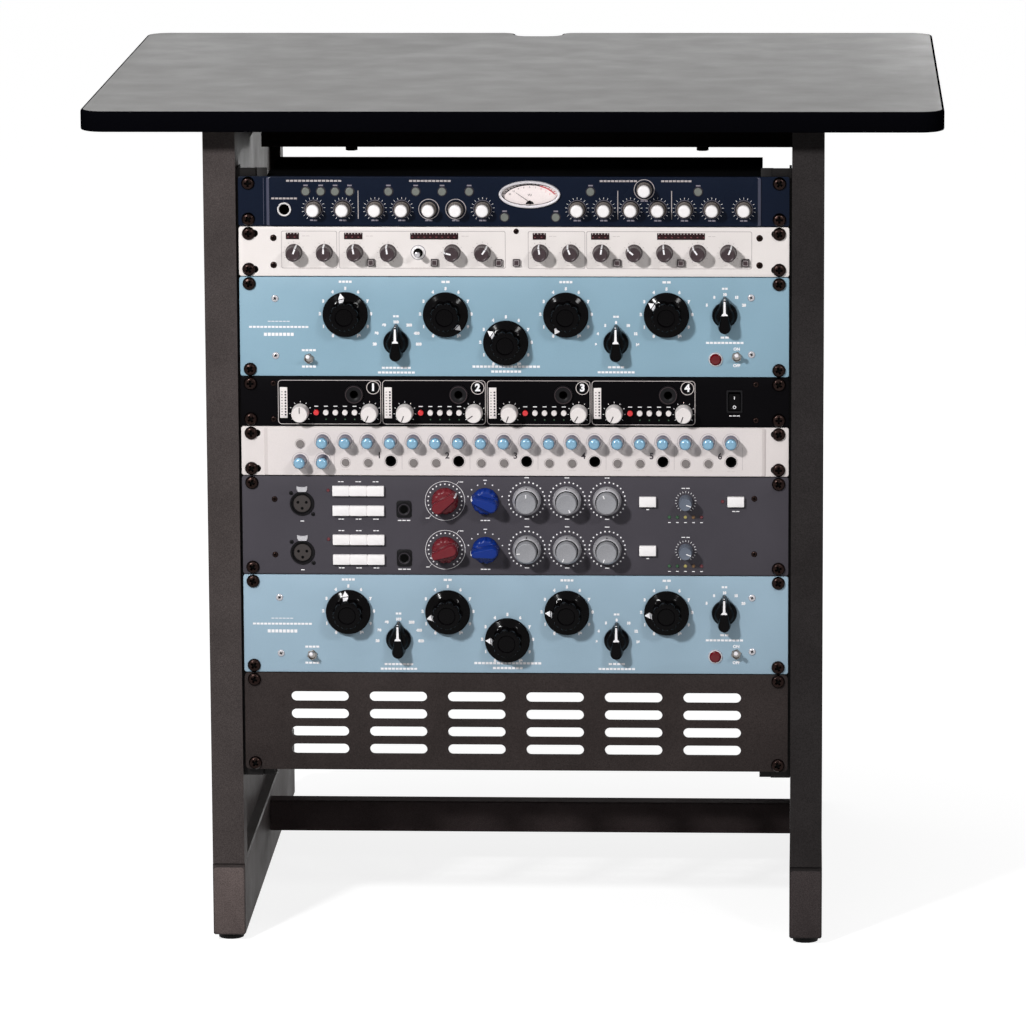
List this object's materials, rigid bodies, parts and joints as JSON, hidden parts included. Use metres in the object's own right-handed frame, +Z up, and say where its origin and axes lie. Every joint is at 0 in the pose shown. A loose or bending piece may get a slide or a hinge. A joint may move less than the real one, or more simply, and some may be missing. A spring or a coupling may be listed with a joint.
{
  "type": "desktop studio rack",
  "caption": "Steel desk on two side frames with a cable notch in its top and a rack of audio devices with turning knobs, buttons, toggles and a meter.",
  "frame": {"origin": "on the floor, under the middle of the desk top", "axes": "+X to the right as seen from the front, +Y from the devices' fronts to the back, +Z up"},
  "size_m": [0.75, 0.6, 0.754],
  "materials": {
    "desk_laminate": "grey laminate on a board, with a black edge",
    "frame_paint": "dark brown-grey powder coat",
    "navy_panel": "dark navy paint",
    "cream_panel": "warm white paint",
    "blue_panel": "pale blue paint",
    "black_panel": "black paint",
    "grey_panel": "warm dark grey paint",
    "case_steel": "black paint",
    "black_plastic": "black",
    "grey_plastic": "light grey",
    "white_plastic": "warm white",
    "blue_plastic": "dark blue",
    "red_plastic": "dark red",
    "pale_blue_plastic": "pale blue",
    "clear_grey_plastic": "frosted grey",
    "chrome": "polished",
    "rack_steel": "dark zinc"
  },
  "bodies": {
    "rack": {"desktop": "desk_laminate", "left_side_frame": "frame_paint", "right_side_frame": "frame_paint", "top_crossbar": "frame_paint", "base_crossbar": "frame_paint", "left_rack_rail": "rack_steel", "right_rack_rail": "rack_steel", "channel_strip_faceplate": "navy_panel", "channel_strip_chassis": "case_steel", "dynamics_faceplate": "cream_panel", "dynamics_chassis": "case_steel", "upper_equalizer_faceplate": "blue_panel", "upper_equalizer_chassis": "case_steel", "quad_unit_faceplate": "black_panel", "quad_unit_chassis": "case_steel", "headphone_amp_faceplate": "cream_panel", "headphone_amp_chassis": "case_steel", "dual_preamp_faceplate": "grey_panel", "dual_preamp_chassis": "case_steel", "lower_equalizer_faceplate": "blue_panel", "lower_equalizer_chassis": "case_steel", "vent_panel": "frame_paint", "vu_meter": "chrome"},
    "channel_strip_output_knob": {"channel_strip_output_knob": "white_plastic"},
    "channel_strip_bypass_button": {"channel_strip_bypass_button": "clear_grey_plastic"},
    "vu_needle": {"vu_needle": "black_plastic"},
    "dynamics_output_knob": {"dynamics_output_knob": "grey_plastic"},
    "dynamics_bypass_button": {"dynamics_bypass_button": "black_plastic"},
    "upper_equalizer_low_gain_knob": {"upper_equalizer_low_gain_knob": "black_plastic"},
    "upper_equalizer_low_mid_gain_knob": {"upper_equalizer_low_mid_gain_knob": "black_plastic"},
    "upper_equalizer_mid_gain_knob": {"upper_equalizer_mid_gain_knob": "black_plastic"},
    "upper_equalizer_high_mid_gain_knob": {"upper_equalizer_high_mid_gain_knob": "black_plastic"},
    "upper_equalizer_high_gain_knob": {"upper_equalizer_high_gain_knob": "black_plastic"},
    "upper_equalizer_low_band_selector": {"upper_equalizer_low_band_selector": "black_plastic"},
    "upper_equalizer_high_band_selector": {"upper_equalizer_high_band_selector": "black_plastic"},
    "upper_equalizer_output_selector": {"upper_equalizer_output_selector": "black_plastic"},
    "upper_equalizer_range_toggle": {"upper_equalizer_range_toggle": "chrome"},
    "upper_equalizer_power_toggle": {"upper_equalizer_power_toggle": "chrome"},
    "lower_equalizer_low_gain_knob": {"lower_equalizer_low_gain_knob": "black_plastic"},
    "lower_equalizer_low_mid_gain_knob": {"lower_equalizer_low_mid_gain_knob": "black_plastic"},
    "lower_equalizer_mid_gain_knob": {"lower_equalizer_mid_gain_knob": "black_plastic"},
    "lower_equalizer_high_mid_gain_knob": {"lower_equalizer_high_mid_gain_knob": "black_plastic"},
    "lower_equalizer_high_gain_knob": {"lower_equalizer_high_gain_knob": "black_plastic"},
    "lower_equalizer_low_band_selector": {"lower_equalizer_low_band_selector": "black_plastic"},
    "lower_equalizer_high_band_selector": {"lower_equalizer_high_band_selector": "black_plastic"},
    "lower_equalizer_output_selector": {"lower_equalizer_output_selector": "black_plastic"},
    "lower_equalizer_range_toggle": {"lower_equalizer_range_toggle": "chrome"},
    "lower_equalizer_power_toggle": {"lower_equalizer_power_toggle": "chrome"},
    "quad_unit_level_knob": {"quad_unit_level_knob": "white_plastic"},
    "quad_unit_mute_button": {"quad_unit_mute_button": "red_plastic"},
    "quad_unit_power_rocker": {"quad_unit_power_rocker": "black_plastic"},
    "headphone_amp_volume_knob": {"headphone_amp_volume_knob": "pale_blue_plastic"},
    "headphone_amp_mute_button": {"headphone_amp_mute_button": "grey_plastic"},
    "dual_preamp_upper_gain_knob": {"dual_preamp_upper_gain_knob": "red_plastic"},
    "dual_preamp_upper_output_knob": {"dual_preamp_upper_output_knob": "blue_plastic"},
    "dual_preamp_lower_gain_knob": {"dual_preamp_lower_gain_knob": "red_plastic"},
    "dual_preamp_lower_output_knob": {"dual_preamp_lower_output_knob": "blue_plastic"},
    "dual_preamp_filter_ring_knob": {"dual_preamp_filter_ring_knob": "grey_plastic"},
    "dual_preamp_filter_knob": {"dual_preamp_filter_knob": "grey_plastic"},
    "dual_preamp_power_button": {"dual_preamp_power_button": "white_plastic"}
  },
  "joints": [
    {"name": "channel_strip_output_knob_turn", "type": "hinge", "parent": "rack", "child": "channel_strip_output_knob", "pos_m": [0.2014, -0.245, 0.66197], "axis": [0, 1, 0], "range_deg": [-150, 150]},
    {"name": "channel_strip_bypass_button_press", "type": "slide", "parent": "rack", "child": "channel_strip_bypass_button", "axis": [0, 1, 0], "range_m": [0, 0.0015], "stiffness_N_per_m": 300, "springref_m": -0.002},
    {"name": "vu_needle_swing", "type": "hinge", "parent": "rack", "child": "vu_needle", "pos_m": [0.0144, -0.245, 0.66787], "axis": [0, 1, 0], "range_deg": [0, 110], "stiffness_Nm_per_rad": 0.0002, "springref_deg": -17.19},
    {"name": "dynamics_output_knob_turn", "type": "hinge", "parent": "rack", "child": "dynamics_output_knob", "pos_m": [0.1881, -0.245, 0.62333], "axis": [0, 1, 0], "range_deg": [-172, 128]},
    {"name": "dynamics_bypass_button_press", "type": "slide", "parent": "rack", "child": "dynamics_bypass_button", "axis": [0, 1, 0], "range_m": [0, 0.0015], "stiffness_N_per_m": 300, "springref_m": -0.002},
    {"name": "upper_equalizer_low_gain_knob_turn", "type": "hinge", "parent": "rack", "child": "upper_equalizer_low_gain_knob", "pos_m": [-0.148, -0.245, 0.56875], "axis": [0, 1, 0], "range_deg": [-138, 162]},
    {"name": "upper_equalizer_low_mid_gain_knob_turn", "type": "hinge", "parent": "rack", "child": "upper_equalizer_low_mid_gain_knob", "pos_m": [-0.0598, -0.245, 0.56875], "axis": [0, 1, 0], "range_deg": [-285, 15]},
    {"name": "upper_equalizer_mid_gain_knob_turn", "type": "hinge", "parent": "rack", "child": "upper_equalizer_mid_gain_knob", "pos_m": [-0.007, -0.245, 0.54375], "axis": [0, 1, 0], "range_deg": [-95, 205]},
    {"name": "upper_equalizer_high_mid_gain_knob_turn", "type": "hinge", "parent": "rack", "child": "upper_equalizer_high_mid_gain_knob", "pos_m": [0.0458, -0.245, 0.56875], "axis": [0, 1, 0], "range_deg": [0, 300]},
    {"name": "upper_equalizer_high_gain_knob_turn", "type": "hinge", "parent": "rack", "child": "upper_equalizer_high_gain_knob", "pos_m": [0.134, -0.245, 0.56875], "axis": [0, 1, 0], "range_deg": [-95, 205]},
    {"name": "upper_equalizer_low_band_selector_turn", "type": "hinge", "parent": "rack", "child": "upper_equalizer_low_band_selector", "pos_m": [-0.1037, -0.245, 0.54375], "axis": [0, 1, 0], "range_deg": [-75, 75]},
    {"name": "upper_equalizer_high_band_selector_turn", "type": "hinge", "parent": "rack", "child": "upper_equalizer_high_band_selector", "pos_m": [0.0897, -0.245, 0.54375], "axis": [0, 1, 0], "range_deg": [-75, 75]},
    {"name": "upper_equalizer_output_selector_turn", "type": "hinge", "parent": "rack", "child": "upper_equalizer_output_selector", "pos_m": [0.185, -0.245, 0.56875], "axis": [0, 1, 0], "range_deg": [-75, 75]},
    {"name": "upper_equalizer_range_toggle_flip", "type": "hinge", "parent": "rack", "child": "upper_equalizer_range_toggle", "pos_m": [-0.1807, -0.245, 0.52895], "axis": [1, 0, 0], "range_deg": [0, 24]},
    {"name": "upper_equalizer_power_toggle_flip", "type": "hinge", "parent": "rack", "child": "upper_equalizer_power_toggle", "pos_m": [0.1955, -0.245, 0.53125], "axis": [1, 0, 0], "range_deg": [0, 24]},
    {"name": "lower_equalizer_low_gain_knob_turn", "type": "hinge", "parent": "rack", "child": "lower_equalizer_low_gain_knob", "pos_m": [-0.148, -0.245, 0.30205], "axis": [0, 1, 0], "range_deg": [-142, 158]},
    {"name": "lower_equalizer_low_mid_gain_knob_turn", "type": "hinge", "parent": "rack", "child": "lower_equalizer_low_mid_gain_knob", "pos_m": [-0.0598, -0.245, 0.30205], "axis": [0, 1, 0], "range_deg": [-43, 257]},
    {"name": "lower_equalizer_mid_gain_knob_turn", "type": "hinge", "parent": "rack", "child": "lower_equalizer_mid_gain_knob", "pos_m": [-0.007, -0.245, 0.27705], "axis": [0, 1, 0], "range_deg": [-60, 240]},
    {"name": "lower_equalizer_high_mid_gain_knob_turn", "type": "hinge", "parent": "rack", "child": "lower_equalizer_high_mid_gain_knob", "pos_m": [0.0458, -0.245, 0.30205], "axis": [0, 1, 0], "range_deg": [-60, 240]},
    {"name": "lower_equalizer_high_gain_knob_turn", "type": "hinge", "parent": "rack", "child": "lower_equalizer_high_gain_knob", "pos_m": [0.134, -0.245, 0.30205], "axis": [0, 1, 0], "range_deg": [-55, 245]},
    {"name": "lower_equalizer_low_band_selector_turn", "type": "hinge", "parent": "rack", "child": "lower_equalizer_low_band_selector", "pos_m": [-0.1037, -0.245, 0.27705], "axis": [0, 1, 0], "range_deg": [-75, 75]},
    {"name": "lower_equalizer_high_band_selector_turn", "type": "hinge", "parent": "rack", "child": "lower_equalizer_high_band_selector", "pos_m": [0.0897, -0.245, 0.27705], "axis": [0, 1, 0], "range_deg": [-75, 75]},
    {"name": "lower_equalizer_output_selector_turn", "type": "hinge", "parent": "rack", "child": "lower_equalizer_output_selector", "pos_m": [0.185, -0.245, 0.30205], "axis": [0, 1, 0], "range_deg": [-75, 75]},
    {"name": "lower_equalizer_range_toggle_flip", "type": "hinge", "parent": "rack", "child": "lower_equalizer_range_toggle", "pos_m": [-0.1807, -0.245, 0.26225], "axis": [1, 0, 0], "range_deg": [0, 24]},
    {"name": "lower_equalizer_power_toggle_flip", "type": "hinge", "parent": "rack", "child": "lower_equalizer_power_toggle", "pos_m": [0.1955, -0.245, 0.26455], "axis": [1, 0, 0], "range_deg": [0, 24]},
    {"name": "quad_unit_level_knob_turn", "type": "hinge", "parent": "rack", "child": "quad_unit_level_knob", "pos_m": [-0.1887, -0.245, 0.48097], "axis": [0, 1, 0], "range_deg": [-150, 150]},
    {"name": "quad_unit_mute_button_press", "type": "slide", "parent": "rack", "child": "quad_unit_mute_button", "axis": [0, 1, 0], "range_m": [0, 0.0015], "stiffness_N_per_m": 300, "springref_m": -0.002},
    {"name": "quad_unit_power_rocker_rock", "type": "hinge", "parent": "rack", "child": "quad_unit_power_rocker", "pos_m": [0.1936, -0.245, 0.49157], "axis": [1, 0, 0], "range_deg": [-14, 0]},
    {"name": "headphone_amp_volume_knob_turn", "type": "hinge", "parent": "rack", "child": "headphone_amp_volume_knob", "pos_m": [-0.1693, -0.245, 0.45563], "axis": [0, 1, 0], "range_deg": [-150, 150]},
    {"name": "headphone_amp_mute_button_press", "type": "slide", "parent": "rack", "child": "headphone_amp_mute_button", "axis": [0, 1, 0], "range_m": [0, 0.0015], "stiffness_N_per_m": 300, "springref_m": -0.002},
    {"name": "dual_preamp_upper_gain_knob_turn", "type": "hinge", "parent": "rack", "child": "dual_preamp_upper_gain_knob", "pos_m": [-0.0617, -0.245, 0.40185], "axis": [0, 1, 0], "range_deg": [-205, 95]},
    {"name": "dual_preamp_upper_output_knob_turn", "type": "hinge", "parent": "rack", "child": "dual_preamp_upper_output_knob", "pos_m": [-0.0262, -0.245, 0.40185], "axis": [0, 1, 0], "range_deg": [-80, 220]},
    {"name": "dual_preamp_lower_gain_knob_turn", "type": "hinge", "parent": "rack", "child": "dual_preamp_lower_gain_knob", "pos_m": [-0.0617, -0.245, 0.35785], "axis": [0, 1, 0], "range_deg": [-40, 260]},
    {"name": "dual_preamp_lower_output_knob_turn", "type": "hinge", "parent": "rack", "child": "dual_preamp_lower_output_knob", "pos_m": [-0.0262, -0.245, 0.35785], "axis": [0, 1, 0], "range_deg": [-55, 245]},
    {"name": "dual_preamp_filter_ring_knob_turn", "type": "hinge", "parent": "rack", "child": "dual_preamp_filter_ring_knob", "pos_m": [0.0106, -0.245, 0.40285], "axis": [0, 1, 0], "range_deg": [-150, 150]},
    {"name": "dual_preamp_filter_knob_turn", "type": "hinge", "parent": "rack", "child": "dual_preamp_filter_knob", "pos_m": [0.0106, -0.245, 0.40285], "axis": [0, 1, 0], "range_deg": [-150, 150]},
    {"name": "dual_preamp_power_button_press", "type": "slide", "parent": "rack", "child": "dual_preamp_power_button", "axis": [0, 1, 0], "range_m": [0, 0.0015], "stiffness_N_per_m": 300, "springref_m": -0.002}
  ]
}
